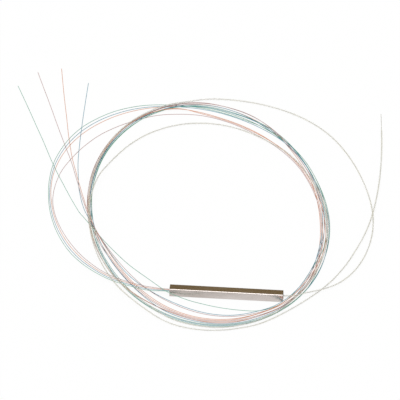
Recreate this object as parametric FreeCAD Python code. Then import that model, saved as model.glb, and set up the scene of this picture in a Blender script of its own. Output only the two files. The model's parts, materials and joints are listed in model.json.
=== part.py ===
import FreeCAD, Part
import math
import os

# A one-to-four planar lightwave fibre splitter in a bare steel housing.
# X runs along the housing, with the input at +X and the outputs at -X.
# Y runs away from the open side of the fibre coil, and Z is up.
# The origin is the centre of the housing's underside. All sizes are in millimetres.

# ---- driving dimensions ------------------------------------------------------

housing_length = 50.0
housing_width = 4.0
housing_height = 4.0
housing_wall = 0.3
housing_corner = 0.45           # outer corner radius of the drawn square tube

seal_depth = 2.2                # how far each end seal reaches into the housing
seal_recess = 0.2               # the seal's face lies this far inside the end
seal_shoulder = 0.6             # the seal's inner end is stepped in over this length
seal_step = 0.25                # and by this much each side

glass_diameter = 0.125          # stripped fibre
coating_diameter = 0.25         # coated fibre
sleeve_diameter = 0.9           # clear loose tube on the input fibre
sleeve_bore = 0.5
sleeve_entry = 6.0              # length of loose tube held inside the housing

output_count = 4
groove_pitch = 0.25             # spacing of the fibres in the output array
groove_angle = 60.0             # full angle of each V groove
exit_pitch = 0.5                # spacing of the fibres in the output seal
fan_straight = 2.5              # from the array and the seal to the fan-out's bends

chip_length = 12.0
chip_width = 2.4
chip_thickness = 1.2
chip_lid_length = 3.2
lid_thickness = 1.15            # glass lids, on the chip and on both arrays
array_length = 8.0
array_width = 2.4
array_lid_length = 5.0
bead_under = 0.1                # adhesive under the coated fibres
bead_height = 0.85              # the whole bead's height on the step
bead_margin = 0.3               # the bead stops this far inside the block's edges
bead_corner = 0.3
cushion_width = 2.8
cushion_overhang = 1.0          # cushion beyond each end of the glass assembly
seat_clearance = 0.02           # between the glass assembly's lids and the upper cushion

coil_height = 1.3
lead_clearance = 0.2            # gap under a lead where it crosses the coil
notch_side = 0.35               # room beside a tube in its notch in the coil's edge
notch_length = 9.0
exit_run = 4.0                  # straight fibre just outside each seal
stub_length = 12.0              # coated fibre that stands out of the cut loose tube

# ---- places worked out from the sizes ----------------------------------------

half_length = housing_length / 2
bore_width = housing_width - 2 * housing_wall
bore_height = housing_height - 2 * housing_wall
axis_height = housing_height / 2
glass_radius = glass_diameter / 2
coating_radius = coating_diameter / 2
sleeve_radius = sleeve_diameter / 2
seal_face = half_length - seal_recess
seal_inner = seal_face - seal_depth
chip_end = chip_length / 2
array_end = chip_end + array_length
lid_end = chip_end + array_lid_length
array_top = axis_height + glass_radius
step_top = axis_height - coating_radius - bead_under
assembly_bottom = axis_height - chip_thickness
chip_lid_top = axis_height + lid_thickness
array_lid_top = array_top + lid_thickness
assembly_end = array_end + cushion_overhang
sleeve_start = half_length - sleeve_entry
input_offset = 0.3              # the loose tube leaves the seal this far to +Y
low = coating_radius            # centre height of a coated fibre that lies down
over = coil_height + lead_clearance + coating_radius
sleeve_low = sleeve_radius      # the same heights for the loose tube
sleeve_over = coil_height + lead_clearance + sleeve_radius

# ---- the coil: an oval, with its long axis leaning to -X -----------------------

coil_x = -14.0
coil_long = 82.4
coil_short = 51.7
coil_lean = 11.5
coil_clearance = 2.531          # from the housing's near corner to the oval, along Y
end_clearance = 14.4            # from the housing's output end to the oval, along X

# Clockwise angle from the coil's far end, then how far the inner and the outer
# edge of the bundle lie outside the oval.
coil_edges = [
    (0, -14.6, 2.5),
    (20, -13.2, 2.4),
    (40, -9.6, 1.8),
    (60, -6.0, 1.7),
    (80, -3.8, 2.2),
    (100, -2.6, 3.3),
    (120, -1.9, 3.6),
    (135, -1.6, 3.0),
    (149, 0.3, 3.5),
    (163, -5.0, 4.4),
    (180, -9.0, 6.4),
    (197, -11.0, 7.9),
    (213, -8.3, 8.1),
    (228, -8.6, 6.9),
    (243, -8.4, 5.6),
    (260, -3.0, 3.9),
    (280, -2.2, 2.6),
    (300, -5.4, 1.8),
    (320, -9.8, 1.7),
    (340, -13.6, 2.0),
]

# ---- fibre routes, point by point --------------------------------------------

output_names = ["green", "blue", "orange", "brown"]

lead_routes = {
    "green": [
        (-35.0, 0.0, 1.8), (-42.2, 1.9, over), (-50.4, 5.1, over), (-58.3, 10.4, over),
        (-65.6, 18.3, 0.7), (-72.4, 28.4, low), (-78.8, 41.4, low), (-83.8, 56.6, low),
        (-86.4, 74.0, low), (-85.3, 92.4, low), (-80.6, 110.2, low), (-71.8, 125.5, low),
        (-61.0, 135.6, low), (-50.4, 140.4, low), (-43.4, 141.4, low), (-37.6, 141.4, low),
    ],
    "blue": [
        (-35.1, 0.7, 1.8), (-42.1, 2.7, over), (-50.1, 6.0, over), (-57.7, 11.4, over),
        (-64.8, 19.2, 0.7), (-71.4, 29.1, low), (-77.6, 41.9, low), (-82.7, 57.1, low),
        (-85.2, 74.3, low), (-84.5, 92.0, low), (-79.4, 109.3, low), (-70.9, 124.3, low),
        (-60.4, 134.2, low), (-50.0, 139.4, low), (-43.2, 140.6, low), (-37.6, 140.6, low),
    ],
    "orange": [
        (-35.2, 1.4, 1.8), (-42.1, 3.4, over), (-49.8, 6.9, over), (-57.1, 12.4, over),
        (-63.9, 20.1, 0.7), (-70.4, 29.8, low), (-76.4, 42.3, low), (-81.4, 57.3, low),
        (-84.3, 74.4, low), (-83.2, 91.6, low), (-78.5, 108.4, low), (-69.7, 123.4, low),
        (-59.6, 133.0, low), (-49.8, 138.5, low), (-43.0, 139.8, low), (-37.6, 139.8, low),
    ],
    "brown": [
        (-35.2, 2.1, 1.8), (-42.0, 4.2, over), (-49.5, 7.8, over), (-56.6, 13.4, over),
        (-63.2, 21.0, 0.7), (-69.5, 30.5, low), (-75.4, 42.8, low), (-80.2, 56.0, low),
        (-82.4, 69.8, low), (-81.6, 83.0, low), (-78.0, 96.0, low), (-72.2, 107.6, low),
        (-65.8, 116.4, low), (-59.1, 123.4, low), (-53.9, 127.3, low),
    ],
}

tail_routes = {
    "green": [
        (-66.7, 47.3, 0.5), (-69.3, 52.7, 0.5), (-72.6, 60.6, 0.5), (-76.4, 70.2, 0.5),
        (-81.2, 82.6, 0.55), (-86.2, 96.4, 0.5), (-91.5, 110.6, 0.2), (-97.6, 126.6, low),
        (-102.8, 140.0, low), (-106.6, 150.2, low),
    ],
    "brown": [
        (-67.9, 56.1, 0.5), (-70.1, 61.7, 0.5), (-72.2, 69.6, 0.5), (-74.2, 79.4, 0.55),
        (-77.0, 91.0, 0.55), (-80.6, 104.9, 0.55), (-84.6, 117.4, 0.25),
        (-89.4, 131.8, low), (-94.1, 146.8, low), (-98.7, 161.5, low),
    ],
    "orange": [
        (-68.7, 64.3, 0.5), (-70.5, 70.0, 0.5), (-72.2, 78.2, 0.5), (-74.0, 87.8, 0.55),
        (-76.2, 97.6, 0.55), (-78.8, 108.4, 0.55), (-81.3, 119.8, 0.25),
        (-83.8, 133.8, low), (-86.3, 149.6, low), (-88.5, 165.0, low),
    ],
    "blue": [
        (-69.0, 71.9, 0.5), (-70.4, 77.7, 0.5), (-71.9, 86.0, 0.5), (-73.3, 95.6, 0.55),
        (-74.4, 106.4, 0.55), (-75.0, 118.0, 0.5), (-75.4, 130.6, 0.2),
        (-75.3, 143.6, low), (-75.5, 155.2, low),
    ],
}

input_lead_route = [
    (33.6, 2.6, sleeve_over), (38.8, 5.0, 1.85), (44.6, 8.9, 1.45),
    (50.4, 15.4, 0.8), (55.6, 25.4, sleeve_low),
    (59.2, 39.0, sleeve_low), (60.4, 54.6, sleeve_low), (58.7, 71.2, sleeve_low),
    (53.6, 89.6, sleeve_low), (45.8, 108.4, sleeve_low), (35.2, 125.4, sleeve_low),
    (21.6, 137.4, sleeve_low), (6.6, 144.4, sleeve_low), (-7.2, 147.4, sleeve_low),
    (-20.5, 146.6, sleeve_low), (-28.0, 143.9, sleeve_low),
]

input_tail_route = [
    (23.8, -10.6, sleeve_low), (30.3, -6.0, sleeve_low), (36.6, 2.2, sleeve_low),
    (41.9, 11.2, sleeve_low), (47.0, 21.6, sleeve_low), (51.8, 34.6, 0.7),
    (55.4, 48.6, 1.3), (58.1, 62.4, 1.55), (59.7, 76.4, 1.4), (60.4, 91.4, 0.7),
    (60.0, 106.6, sleeve_low), (58.9, 119.6, sleeve_low), (57.7, 131.2, sleeve_low),
]


# ---- shared geometry -----------------------------------------------------------

def vector(point):
    return FreeCAD.Vector(*point)


def box(x_low, x_high, width, z_low, z_high, y_centre=0.0):
    """A box along X, centred on y_centre."""
    corner = FreeCAD.Vector(x_low, y_centre - width / 2, z_low)
    return Part.makeBox(x_high - x_low, width, z_high - z_low, corner)


def rod(x_low, x_high, diameter, y_centre=0.0, z_centre=None):
    """A round bar along X."""
    height = axis_height if z_centre is None else z_centre
    start = FreeCAD.Vector(x_low, y_centre, height)
    return Part.makeCylinder(diameter / 2, x_high - x_low, start, FreeCAD.Vector(1, 0, 0))


def round_x_edges(shape, radius):
    """Fillet the four long edges of a bar that lies along X."""
    edges = []
    for edge in shape.Edges:
        direction = edge.tangentAt(edge.FirstParameter)
        if abs(abs(direction.x) - 1) < 1e-6:
            edges.append(edge)
    return shape.makeFillet(radius, edges)


def mirror_to_outputs(shape):
    """The same shape on the other side of the chip."""
    return shape.mirror(FreeCAD.Vector(0, 0, 0), FreeCAD.Vector(1, 0, 0))


def corner_arc(before, point, after):
    """The arc that rounds one corner: its three points and its radius."""
    back = before - point
    ahead = after - point
    shorter = min(back.Length, ahead.Length)
    turn = math.pi - back.getAngle(ahead)
    reach = 0.45 * shorter
    radius = reach / math.tan(turn / 2)
    back.normalize()
    ahead.normalize()
    inward = back + ahead
    inward.normalize()
    centre_distance = math.hypot(reach, radius)
    middle = point + inward * (centre_distance - radius)
    return point + back * reach, middle, point + ahead * reach, radius


def rounded_route(points):
    """Straight runs joined by tangent arcs, and the smallest arc radius."""
    edges = []
    radii = []
    last = points[0]
    for index in range(1, len(points) - 1):
        start, middle, end, radius = corner_arc(*points[index - 1:index + 2])
        edges.append(Part.LineSegment(last, start).toShape())
        edges.append(Part.Arc(start, middle, end).toShape())
        radii.append(radius)
        last = end
    edges.append(Part.LineSegment(last, points[-1]).toShape())
    return Part.Wire(edges), min(radii)


def route_tube(name, points, diameter):
    """A solid round tube along a route, with its radii and its volume printed."""
    vectors = [vector(point) for point in points]
    path, smallest = rounded_route(vectors)
    direction = vectors[1] - vectors[0]
    profile = Part.Wire(Part.Circle(vectors[0], direction, diameter / 2).toShape())
    tube = path.makePipeShell([profile], True, False)
    section = math.pi * diameter * diameter / 4
    ratio = tube.Volume / (section * path.Length)
    print(f"{name}: length {path.Length:.1f}, least radius {smallest:.1f}, "
          f"volume over section times length {ratio:.4f}")
    return tube


def save(name, shape):
    solids = shape.Solids
    result = solids[0] if len(solids) == 1 else Part.makeCompound(solids)
    result.exportStep(f"parts/{name}.step")
    print(f"{name}: {len(solids)} solid, valid {shape.isValid()}, {shape.Volume:.3f} mm3")


# ---- the housing and its seals ---------------------------------------------------

def make_housing():
    outer = box(-half_length, half_length, housing_width, 0, housing_height)
    outer = round_x_edges(outer, housing_corner)
    bore = box(-half_length, half_length, bore_width, housing_wall,
               housing_height - housing_wall)
    return outer.cut(round_x_edges(bore, housing_corner - housing_wall))


def make_seal_blank():
    """The input seal with no fibre hole: a plug with a stepped-in inner end."""
    shoulder_start = seal_inner + seal_shoulder
    plug = box(shoulder_start, seal_face, bore_width, housing_wall,
               housing_height - housing_wall)
    plug = round_x_edges(plug, housing_corner - housing_wall)
    nose = box(seal_inner, shoulder_start, bore_width - 2 * seal_step,
               housing_wall + seal_step, housing_height - housing_wall - seal_step)
    return plug.fuse(nose)


def make_input_seal():
    hole = rod(seal_inner, seal_face, sleeve_diameter, input_offset)
    return make_seal_blank().cut(hole)


def make_output_seal():
    seal = mirror_to_outputs(make_seal_blank())
    for index in range(output_count):
        hole = rod(-seal_face, -seal_inner, coating_diameter, exit_place(index))
        seal = seal.cut(hole)
    return seal


# ---- the chip and the two fibre arrays ---------------------------------------------

def make_chip():
    return box(-chip_end, chip_end, chip_width, assembly_bottom, axis_height)


def make_chip_lid():
    """The glass lid on the chip's input end."""
    return box(chip_end - chip_lid_length, chip_end, chip_width, axis_height,
               chip_lid_top)


def groove_place(index):
    """Where an output fibre lies across its array, outermost turn first."""
    return (index - (output_count - 1) / 2) * groove_pitch


def exit_place(index):
    """Where an output fibre passes the output seal."""
    return (index - (output_count - 1) / 2) * exit_pitch


def make_groove(y_centre):
    """A V groove, as a prism along X, that holds the stripped fibre on the axis."""
    half_angle = math.radians(groove_angle / 2)
    bottom = axis_height - glass_radius / math.sin(half_angle)
    half_width = (array_top - bottom) * math.tan(half_angle)
    corners = [
        FreeCAD.Vector(chip_end, y_centre - half_width, array_top),
        FreeCAD.Vector(chip_end, y_centre + half_width, array_top),
        FreeCAD.Vector(chip_end, y_centre, bottom),
    ]
    face = Part.Face(Part.makePolygon(corners + corners[:1]))
    return face.extrude(FreeCAD.Vector(array_lid_length, 0, 0))


def make_array_block(places):
    """A grooved glass block, stepped down where the coated fibre rests on it."""
    front = box(chip_end, lid_end, array_width, assembly_bottom, array_top)
    rear = box(lid_end, array_end, array_width, assembly_bottom, step_top)
    block = front.fuse(rear)
    for place in places:
        block = block.cut(make_groove(place))
    return block.removeSplitter()


def make_array_lid():
    return box(chip_end, lid_end, array_width, array_top, array_lid_top)


def make_fibre_slot(places):
    """The space that a flat row of coated fibres takes up in its bead."""
    first = places[0]
    last = places[-1]
    slot = rod(lid_end, array_end, coating_diameter, first)
    if last > first:
        middle = box(lid_end, array_end, last - first, axis_height - coating_radius,
                     axis_height + coating_radius, (first + last) / 2)
        slot = slot.fuse(middle).fuse(rod(lid_end, array_end, coating_diameter, last))
    return slot


def make_array_bead(places):
    """Adhesive round the coated fibres behind the lid."""
    width = array_width - 2 * bead_margin
    bead = box(lid_end, array_end - bead_margin, width, step_top, step_top + bead_height)
    upper = []
    for edge in bead.Edges:
        direction = edge.tangentAt(edge.FirstParameter)
        along = abs(abs(direction.x) - 1) < 1e-6
        if along and edge.BoundBox.ZMin > step_top + bead_height / 2:
            upper.append(edge)
    return bead.makeFillet(bead_corner, upper).cut(make_fibre_slot(places))


def make_lower_cushion():
    return box(-assembly_end, assembly_end, cushion_width, housing_wall, assembly_bottom)


def make_upper_cushion():
    """The cushion between the glass lids and the housing's top wall."""
    return box(-lid_end, lid_end, cushion_width, array_lid_top + seat_clearance,
               housing_height - housing_wall)


# ---- fibres inside the housing -----------------------------------------------------

def make_input_fibre():
    """Stripped glass in the groove, then coated fibre out to the seal's face."""
    glass = rod(chip_end, lid_end, glass_diameter)
    points = [
        (lid_end, 0.0, axis_height),
        (array_end + fan_straight, 0.0, axis_height),
        (sleeve_start, input_offset, axis_height),
        (seal_face, input_offset, axis_height),
    ]
    coated = route_tube("input_fibre", points, coating_diameter)
    return glass.fuse(coated)


def make_input_sleeve():
    """The part of the loose tube that the input seal grips."""
    outer = rod(sleeve_start, seal_face, sleeve_diameter, input_offset)
    return outer.cut(rod(sleeve_start, seal_face, sleeve_bore, input_offset))


def make_output_fibre(index):
    """Stripped glass in its groove, then coated fibre fanned out to the seal."""
    start = groove_place(index)
    end = exit_place(index)
    glass = rod(-lid_end, -chip_end, glass_diameter, start)
    points = [
        (-lid_end, start, axis_height),
        (-array_end - fan_straight, start, axis_height),
        (-seal_inner + fan_straight, end, axis_height),
        (-seal_face, end, axis_height),
    ]
    coated = route_tube(f"output_fibre_{output_names[index]}", points, coating_diameter)
    return glass.fuse(coated)


# ---- the coil and the loose fibre ----------------------------------------------------

def oval_near_side(across):
    """Y of the oval's near side from its centre, this far across it along X."""
    lean = math.radians(coil_lean)
    along_part = 1 / coil_long ** 2
    across_part = 1 / coil_short ** 2
    square = math.cos(lean) ** 2 * along_part + math.sin(lean) ** 2 * across_part
    cross = math.sin(2 * lean) * (across_part - along_part) * across
    rest = (math.sin(lean) ** 2 * along_part
            + math.cos(lean) ** 2 * across_part) * across ** 2 - 1
    return (-cross - math.sqrt(cross ** 2 - 4 * square * rest)) / (2 * square)


def coil_centre():
    """The oval's centre, set so that its near side clears both of the housing's ends."""
    front = -housing_width / 2
    input_side = front - coil_clearance - oval_near_side(half_length - coil_x)
    output_side = front - oval_near_side(-half_length - end_clearance - coil_x)
    return FreeCAD.Vector(coil_x, min(input_side, output_side), 0)


def coil_point(angle, outward):
    """A point of the oval, moved outward along its normal."""
    turn = math.radians(angle)
    lean = math.radians(coil_lean)
    along = FreeCAD.Vector(-math.sin(lean), math.cos(lean), 0)
    across = FreeCAD.Vector(math.cos(lean), math.sin(lean), 0)
    normal = (along * (coil_short * math.cos(turn))
              + across * (coil_long * math.sin(turn)))
    normal.normalize()
    oval = (coil_centre() + along * (coil_long * math.cos(turn))
            + across * (coil_short * math.sin(turn)))
    return oval + normal * outward


def coil_disc(points):
    """A flat disc of the coil's height inside a smooth closed outline."""
    outline = Part.BSplineCurve()
    outline.interpolate(points, PeriodicFlag=True)
    face = Part.Face(Part.Wire(outline.toShape()))
    return face.extrude(FreeCAD.Vector(0, 0, coil_height))


def make_notch(end, neighbour, diameter):
    """The slot in the coil's edge whose flat end a tube's end face meets."""
    outward = vector(neighbour) - vector(end)
    width = diameter + 2 * notch_side
    slot = Part.makeBox(notch_length, width, 3 * coil_height)
    slot.translate(FreeCAD.Vector(0, -width / 2, -coil_height))
    bearing = math.degrees(math.atan2(outward.y, outward.x))
    slot.rotate(FreeCAD.Vector(0, 0, 0), FreeCAD.Vector(0, 0, 1), bearing)
    slot.translate(FreeCAD.Vector(end[0], end[1], 0))
    return slot


def make_coil():
    """The outer shape of the wound bundle: a flat ring between two ovals."""
    outer_points = [coil_point(angle, outer) for angle, inner, outer in coil_edges]
    inner_points = [coil_point(angle, inner) for angle, inner, outer in coil_edges]
    coil = coil_disc(outer_points).cut(coil_disc(inner_points))
    for route in lead_routes.values():
        coil = coil.cut(make_notch(route[-1], route[-2], coating_diameter))
    for route in tail_routes.values():
        coil = coil.cut(make_notch(route[0], route[1], coating_diameter))
    coil = coil.cut(make_notch(input_lead_route[-1], input_lead_route[-2], sleeve_diameter))
    return coil.cut(make_notch(input_tail_route[0], input_tail_route[1], sleeve_diameter))


def make_stub():
    """Coated fibre that stands out of the loose tube's cut end."""
    last = vector(input_tail_route[-1])
    direction = last - vector(input_tail_route[-2])
    return Part.makeCylinder(coating_radius, stub_length, last, direction)


# ---- build ---------------------------------------------------------------------------

def build_housing():
    save("housing_tube", make_housing())
    save("input_end_seal", make_input_seal())
    save("output_end_seal", make_output_seal())
    save("lower_cushion", make_lower_cushion())
    save("upper_cushion", make_upper_cushion())


def build_optics():
    places = [groove_place(index) for index in range(output_count)]
    save("splitter_chip", make_chip())
    save("chip_input_lid", make_chip_lid())
    save("chip_output_lid", mirror_to_outputs(make_chip_lid()))
    save("input_array_block", make_array_block([0.0]))
    save("output_array_block", mirror_to_outputs(make_array_block(places)))
    save("input_array_lid", make_array_lid())
    save("output_array_lid", mirror_to_outputs(make_array_lid()))
    save("input_array_bead", make_array_bead([0.0]))
    save("output_array_bead", mirror_to_outputs(make_array_bead(places)))
    save("input_fibre", make_input_fibre())
    save("input_sleeve", make_input_sleeve())
    for index, name in enumerate(output_names):
        save(f"output_fibre_{name}", make_output_fibre(index))


def output_lead_route(index):
    """An output lead's route, from its hole in the output seal."""
    place = exit_place(index)
    start = (-seal_face, place, axis_height)
    straight_end = (-seal_face - exit_run, place, axis_height)
    return [start, straight_end] + lead_routes[output_names[index]]


def input_lead():
    """The loose tube's route, from its hole in the input seal."""
    start = (seal_face, input_offset, axis_height)
    straight_end = (seal_face + exit_run, input_offset, axis_height)
    return [start, straight_end] + input_lead_route


def build_loose_fibre():
    save("fibre_coil", make_coil())
    for index, name in enumerate(output_names):
        lead = f"lead_{name}"
        tail = f"tail_{name}"
        save(lead, route_tube(lead, output_lead_route(index), coating_diameter))
        save(tail, route_tube(tail, tail_routes[name], coating_diameter))
    save("lead_input", route_tube("lead_input", input_lead(), sleeve_diameter))
    save("tail_input", route_tube("tail_input", input_tail_route, sleeve_diameter))
    save("input_fibre_stub", make_stub())


os.makedirs("parts", exist_ok=True)
build_housing()
build_optics()
build_loose_fibre()
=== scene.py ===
"""A bare steel-tube fibre splitter with its loose fibre wound into one oval coil.

Everything is in metres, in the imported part's own frame: X along the housing towards the
input, Y towards the far side of the coil, Z up, the origin under the housing's middle.
"""
import json
import logging
import math
from dataclasses import dataclass, field
from enum import Enum
from typing import Iterable, Sequence

import bmesh
import bpy
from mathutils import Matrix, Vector


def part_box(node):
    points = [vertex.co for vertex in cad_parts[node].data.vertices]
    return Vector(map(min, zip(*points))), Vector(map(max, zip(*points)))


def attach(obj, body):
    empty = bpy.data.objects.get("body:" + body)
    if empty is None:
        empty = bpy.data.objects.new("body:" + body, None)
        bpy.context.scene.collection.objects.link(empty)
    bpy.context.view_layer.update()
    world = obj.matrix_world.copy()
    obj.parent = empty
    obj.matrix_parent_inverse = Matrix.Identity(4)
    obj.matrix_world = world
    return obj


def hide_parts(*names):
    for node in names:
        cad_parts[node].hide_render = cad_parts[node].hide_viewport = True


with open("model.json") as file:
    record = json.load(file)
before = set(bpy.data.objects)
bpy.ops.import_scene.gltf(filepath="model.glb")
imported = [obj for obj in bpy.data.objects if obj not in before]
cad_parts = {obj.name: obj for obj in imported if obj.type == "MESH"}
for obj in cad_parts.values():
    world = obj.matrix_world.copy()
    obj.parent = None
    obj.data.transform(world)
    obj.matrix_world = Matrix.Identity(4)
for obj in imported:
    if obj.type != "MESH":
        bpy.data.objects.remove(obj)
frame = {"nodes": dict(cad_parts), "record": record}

LOG = logging.getLogger("splitter")
MM = 0.001
ROOT_BODY = "root"
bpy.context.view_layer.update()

# How finely a strand's curve is drawn: steps for each span, and round its section.
CURVE_STEPS = 6
SECTION_STEPS = 2

Point = tuple[float, float, float]
Route = list[tuple[float, ...]]
Turns = list[tuple[float, float]]


class Laying(Enum):
    """Which way round the oval a strand is wound, seen from above."""

    CLOCKWISE = 1
    ANTICLOCKWISE = -1


# ---- materials -----------------------------------------------------------------------


def linear(code: str) -> tuple[float, float, float, float]:
    """Turn an sRGB hex colour into linear light.

    Args:
        code: six hex digits, with or without a leading hash.

    Returns:
        Red, green, blue and an alpha of one.
    """
    digits = code.lstrip("#")
    channels = []
    for start in (0, 2, 4):
        value = int(digits[start:start + 2], 16) / 255
        low = value / 12.92
        high = ((value + 0.055) / 1.055) ** 2.4
        channels.append(low if value <= 0.04045 else high)
    return channels[0], channels[1], channels[2], 1.0


def add(tree: bpy.types.NodeTree, kind: str, links: dict | None = None,
        settings: dict | None = None, **inputs: object) -> bpy.types.Node:
    """Add one node with its settings, its socket values and its links.

    Args:
        tree: the material's or the world's node tree.
        kind: the node's class name.
        links: input socket name or number to the output socket that feeds it.
        settings: the node's own properties.
        **inputs: socket values, with underscores for the spaces in their names.

    Returns:
        The new node.
    """
    node = tree.nodes.new(kind)
    for name, value in (settings or {}).items():
        setattr(node, name, value)
    for name, value in inputs.items():
        node.inputs[name.replace("_", " ")].default_value = value
    for name, source in (links or {}).items():
        tree.links.new(source, node.inputs[name])
    return node


def ramp(tree: bpy.types.NodeTree, source: bpy.types.NodeSocket,
         stops: Iterable[tuple[float, str]]) -> bpy.types.NodeSocket:
    """Map a factor through hex colours.

    Args:
        tree: the node tree.
        source: the socket that holds the factor.
        stops: position and hex colour pairs, two of them.

    Returns:
        The colour socket.
    """
    node = add(tree, "ShaderNodeValToRGB", {"Fac": source})
    for element, (place, code) in zip(node.color_ramp.elements, stops):
        element.position = place
        element.color = linear(code)
    return node.outputs["Color"]


def object_place(tree: bpy.types.NodeTree, stretch: Point = (1.0, 1.0, 1.0)
                 ) -> bpy.types.NodeSocket:
    """Object coordinates, scaled per axis.

    Args:
        tree: the node tree.
        stretch: the scale along each axis.

    Returns:
        The vector socket.
    """
    place = add(tree, "ShaderNodeTexCoord").outputs["Object"]
    return add(tree, "ShaderNodeMapping", {"Vector": place}, Scale=stretch).outputs[0]


def fresh_tree(owner: bpy.types.ID) -> bpy.types.NodeTree:
    """Switch a material or a world to nodes and empty its tree.

    Args:
        owner: the material or the world.

    Returns:
        The empty tree.
    """
    owner.use_nodes = True
    owner.node_tree.nodes.clear()
    return owner.node_tree


def new_material(name: str) -> tuple[bpy.types.Material, bpy.types.NodeTree,
                                     bpy.types.Node]:
    """An empty node material with its shader joined to the output.

    Args:
        name: the material's name.

    Returns:
        The material, its tree and its Principled shader.
    """
    material = bpy.data.materials.new(name)
    tree = fresh_tree(material)
    shader = add(tree, "ShaderNodeBsdfPrincipled")
    add(tree, "ShaderNodeOutputMaterial", {"Surface": shader.outputs[0]})
    return material, tree, shader


@dataclass(frozen=True)
class DrawnSteel:
    """Drawn stainless tube: satin, with faint lines along the draw.

    The lines stretch highlights across the tube and leave soft light and dark streaks
    along it. A warm tint comes from the thin oxide of the annealed tube.

    Args:
        name: the material's name.
        light: the colour of the light streaks.
        dark: the colour of the dark streaks.
        streak_range: where the mixed pattern turns from dark to light.
        line_pitch: the distance between lines, drawn coarse enough to show.
        line_length: how far a line runs along the tube.
        blotch_size: the size of the soft patches that break up the streaks.
        blotch_stretch: the patches' scale along each axis, long along the tube.
        roughness_low: the roughness of the smoothest lines.
        roughness_high: the roughness of the coarsest.
        line_height: how deep the lines are.
    """

    name: str = "drawn_stainless_steel"
    light: str = "#cfc7c3"
    dark: str = "#bdb4ae"
    streak_range: tuple[float, float] = (0.55, 0.95)
    line_pitch: float = 0.35 * MM
    line_length: float = 9.0 * MM
    blotch_size: float = 7.0 * MM
    blotch_stretch: Point = (0.35, 1.0, 1.0)
    roughness_low: float = 0.2
    roughness_high: float = 0.36
    line_height: float = 0.004 * MM

    def build(self) -> bpy.types.Material:
        """Make the material.

        Returns:
            The material.
        """
        material, tree, shader = new_material(self.name)
        lines = object_place(tree, (1 / self.line_length, 1 / self.line_pitch,
                                    1 / self.line_pitch))
        grain = add(tree, "ShaderNodeTexNoise", {"Vector": lines}, Scale=1.0, Detail=4.0,
                    Roughness=0.6).outputs["Fac"]
        blotch = add(tree, "ShaderNodeTexNoise",
                     {"Vector": object_place(tree, self.blotch_stretch)},
                     Scale=1 / self.blotch_size, Detail=2.0).outputs["Fac"]
        mixed = add(tree, "ShaderNodeMath", {0: grain, 1: blotch},
                    {"operation": "MULTIPLY_ADD"}).outputs[0]
        tree.links.new(blotch, mixed.node.inputs[2])
        colour = ramp(tree, mixed, zip(self.streak_range, (self.dark, self.light)))
        tree.links.new(colour, shader.inputs["Base Color"])
        rough = add(tree, "ShaderNodeMapRange", {"Value": grain}, None,
                    To_Min=self.roughness_low, To_Max=self.roughness_high)
        tree.links.new(rough.outputs[0], shader.inputs["Roughness"])
        bump = add(tree, "ShaderNodeBump", {"Height": grain}, Strength=0.5,
                   Distance=self.line_height)
        tree.links.new(bump.outputs[0], shader.inputs["Normal"])
        shader.inputs["Metallic"].default_value = 1.0
        return material


@dataclass(frozen=True)
class CuredPlastic:
    """Cured coating, silicone or adhesive: a smooth skin with a little cloud in it.

    Args:
        name: the material's name.
        light: the colour where it is thin.
        dark: the colour where it is thick.
        cloud: the size of the cloudy patches.
        roughness: how much the skin spreads a highlight.
        transmission: the share of light that passes.
        ior: the refractive index.
        ripple: the height of the skin's unevenness.
        cloud_range: where the cloud turns from dark to light.
        roughness_spread: how far the cloud varies the roughness, as shares of it.
    """

    name: str
    light: str
    dark: str
    cloud: float = 4.0 * MM
    roughness: float = 0.3
    transmission: float = 0.0
    ior: float = 1.5
    ripple: float = 0.004 * MM
    cloud_range: tuple[float, float] = (0.3, 0.7)
    roughness_spread: tuple[float, float] = (0.8, 1.2)

    def build(self) -> bpy.types.Material:
        """Make the material.

        Returns:
            The material.
        """
        material, tree, shader = new_material(self.name)
        patch = add(tree, "ShaderNodeTexNoise", {"Vector": object_place(tree)},
                    Scale=1 / self.cloud, Detail=3.0).outputs["Fac"]
        colour = ramp(tree, patch, zip(self.cloud_range, (self.dark, self.light)))
        tree.links.new(colour, shader.inputs["Base Color"])
        least, most = self.roughness_spread
        spread = add(tree, "ShaderNodeMapRange", {"Value": patch}, None,
                     To_Min=self.roughness * least, To_Max=self.roughness * most)
        tree.links.new(spread.outputs[0], shader.inputs["Roughness"])
        bump = add(tree, "ShaderNodeBump", {"Height": patch}, Strength=0.3,
                   Distance=self.ripple)
        tree.links.new(bump.outputs[0], shader.inputs["Normal"])
        shader.inputs["IOR"].default_value = self.ior
        shader.inputs["Transmission Weight"].default_value = self.transmission
        return material


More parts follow.
